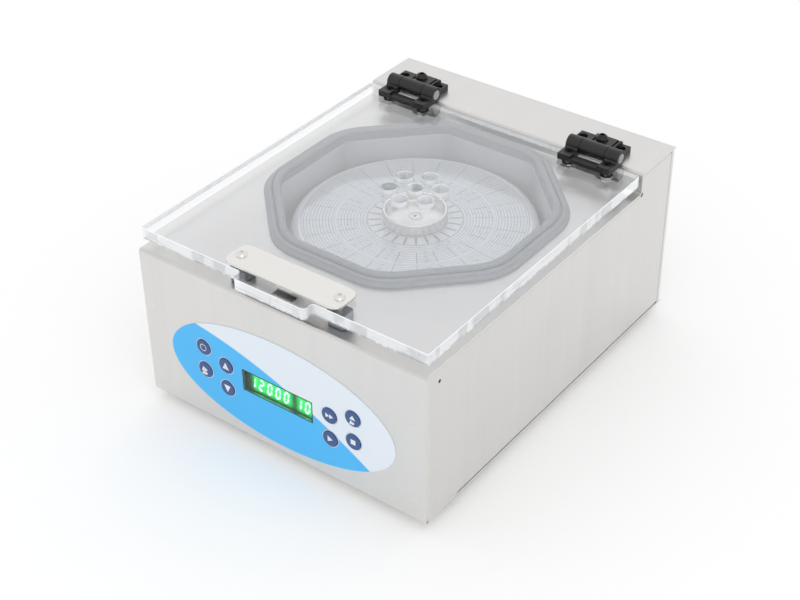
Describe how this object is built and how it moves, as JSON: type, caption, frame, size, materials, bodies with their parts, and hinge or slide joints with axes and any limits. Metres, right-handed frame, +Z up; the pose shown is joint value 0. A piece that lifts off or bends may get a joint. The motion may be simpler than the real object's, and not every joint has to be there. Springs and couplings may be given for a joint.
{
  "type": "microcentrifuge",
  "caption": "Bench microcentrifuge: folded steel case with an octagonal rotor chamber, covered rotor with hub cup, clear hinged lid with grip plate, and oval key panel",
  "frame": {"origin": "middle of the bounding box, on the table under the feet", "axes": "+X to the right seen from the front, +Y to the back, +Z up"},
  "size_m": [0.254, 0.3326, 0.1657],
  "materials": {
    "case_steel": "brushed",
    "bright_steel": "polished",
    "chamber_steel": "satin",
    "aluminium_part": "satin",
    "laminated_steel": "satin",
    "clear_sheet": "clear, polished",
    "clear_cover": "clear, printed",
    "black_rubber": "matte",
    "grey_rubber": "satin",
    "black_plastic": "fine texture",
    "black_screws": "black oxide",
    "overlay_print": "printed film",
    "smoked_lens": "smoked",
    "navy_keys": "printed film",
    "circuit_board": "board"
  },
  "bodies": {
    "case": {"case_shell": "case_steel", "side_panel_left": "case_steel", "side_panel_right": "case_steel", "rear_panel": "case_steel", "base_plate": "case_steel", "rubber_feet": "black_rubber", "case_screws": "bright_steel", "panel_studs": "bright_steel", "chamber_tub": "chamber_steel", "chamber_floor": "chamber_steel", "chamber_gasket": "grey_rubber", "front_overlay": "overlay_print", "display_lens": "smoked_lens", "display_module": "black_plastic", "control_board": "circuit_board", "board_standoffs": "bright_steel", "key_switches": "black_plastic", "lock_bracket": "bright_steel", "lock_solenoid": "laminated_steel", "hinge_base_left": "black_plastic", "hinge_base_right": "black_plastic", "hinge_torque_screws": "black_screws", "motor_can": "aluminium_part", "motor_end_cap": "aluminium_part", "motor_stator": "laminated_steel", "motor_bearings": "bright_steel", "motor_plate": "bright_steel", "motor_isolators": "black_rubber", "motor_posts": "bright_steel", "power_board": "circuit_board", "power_parts": "laminated_steel", "inlet_socket": "black_plastic", "inlet_pins": "bright_steel", "switch_frame": "black_plastic"},
    "lid": {"lid_panel": "clear_sheet", "grip_plate": "bright_steel", "grip_spacers": "bright_steel", "lid_screws": "bright_steel", "lid_buffers": "black_rubber", "lid_strike": "bright_steel", "hinge_lid_leaf_left": "black_plastic", "hinge_lid_leaf_right": "black_plastic", "hinge_pins": "bright_steel", "hinge_washers": "bright_steel"},
    "rotor": {"rotor_cover": "clear_cover", "rotor_disc": "aluminium_part", "hub_cup": "aluminium_part", "rotor_shaft": "bright_steel", "motor_magnet": "laminated_steel"},
    "lock_bolt": {"lock_bolt": "bright_steel"},
    "rocker": {"switch_rocker": "black_plastic"},
    "key_left_top": {"key_left_top": "navy_keys"},
    "key_left_bottom": {"key_left_bottom": "navy_keys"},
    "key_up": {"key_up": "navy_keys"},
    "key_down": {"key_down": "navy_keys"},
    "key_right_top": {"key_right_top": "navy_keys"},
    "key_right_bottom": {"key_right_bottom": "navy_keys"},
    "key_start": {"key_start": "navy_keys"},
    "key_stop": {"key_stop": "navy_keys"}
  },
  "joints": [
    {"name": "lid_hinge", "type": "hinge", "parent": "case", "child": "lid", "pos_m": [0, 0.11425, 0.1595], "axis": [-1, 0, 0], "range_deg": [0, 100]},
    {"name": "rotor_spin", "type": "hinge", "parent": "case", "child": "rotor", "pos_m": [0, 0.00025, 0.12], "axis": [0, 0, 1], "continuous": true},
    {"name": "lock_slide", "type": "slide", "parent": "case", "child": "lock_bolt", "axis": [0, -1, 0], "range_m": [0, 0.007]},
    {"name": "rocker_tilt", "type": "hinge", "parent": "case", "child": "rocker", "pos_m": [0.04, 0.16375, 0.052], "axis": [-1, 0, 0], "range_deg": [0, 16]},
    {"name": "key_left_top_press", "type": "slide", "parent": "case", "child": "key_left_top", "axis": [0, 1, 0], "range_m": [0, 0.0005], "stiffness_N_per_m": 3000, "springref_m": -0.0002},
    {"name": "key_left_bottom_press", "type": "slide", "parent": "case", "child": "key_left_bottom", "axis": [0, 1, 0], "range_m": [0, 0.0005], "stiffness_N_per_m": 3000, "springref_m": -0.0002},
    {"name": "key_up_press", "type": "slide", "parent": "case", "child": "key_up", "axis": [0, 1, 0], "range_m": [0, 0.0005], "stiffness_N_per_m": 3000, "springref_m": -0.0002},
    {"name": "key_down_press", "type": "slide", "parent": "case", "child": "key_down", "axis": [0, 1, 0], "range_m": [0, 0.0005], "stiffness_N_per_m": 3000, "springref_m": -0.0002},
    {"name": "key_right_top_press", "type": "slide", "parent": "case", "child": "key_right_top", "axis": [0, 1, 0], "range_m": [0, 0.0005], "stiffness_N_per_m": 3000, "springref_m": -0.0002},
    {"name": "key_right_bottom_press", "type": "slide", "parent": "case", "child": "key_right_bottom", "axis": [0, 1, 0], "range_m": [0, 0.0005], "stiffness_N_per_m": 3000, "springref_m": -0.0002},
    {"name": "key_start_press", "type": "slide", "parent": "case", "child": "key_start", "axis": [0, 1, 0], "range_m": [0, 0.0005], "stiffness_N_per_m": 3000, "springref_m": -0.0002},
    {"name": "key_stop_press", "type": "slide", "parent": "case", "child": "key_stop", "axis": [0, 1, 0], "range_m": [0, 0.0005], "stiffness_N_per_m": 3000, "springref_m": -0.0002}
  ]
}
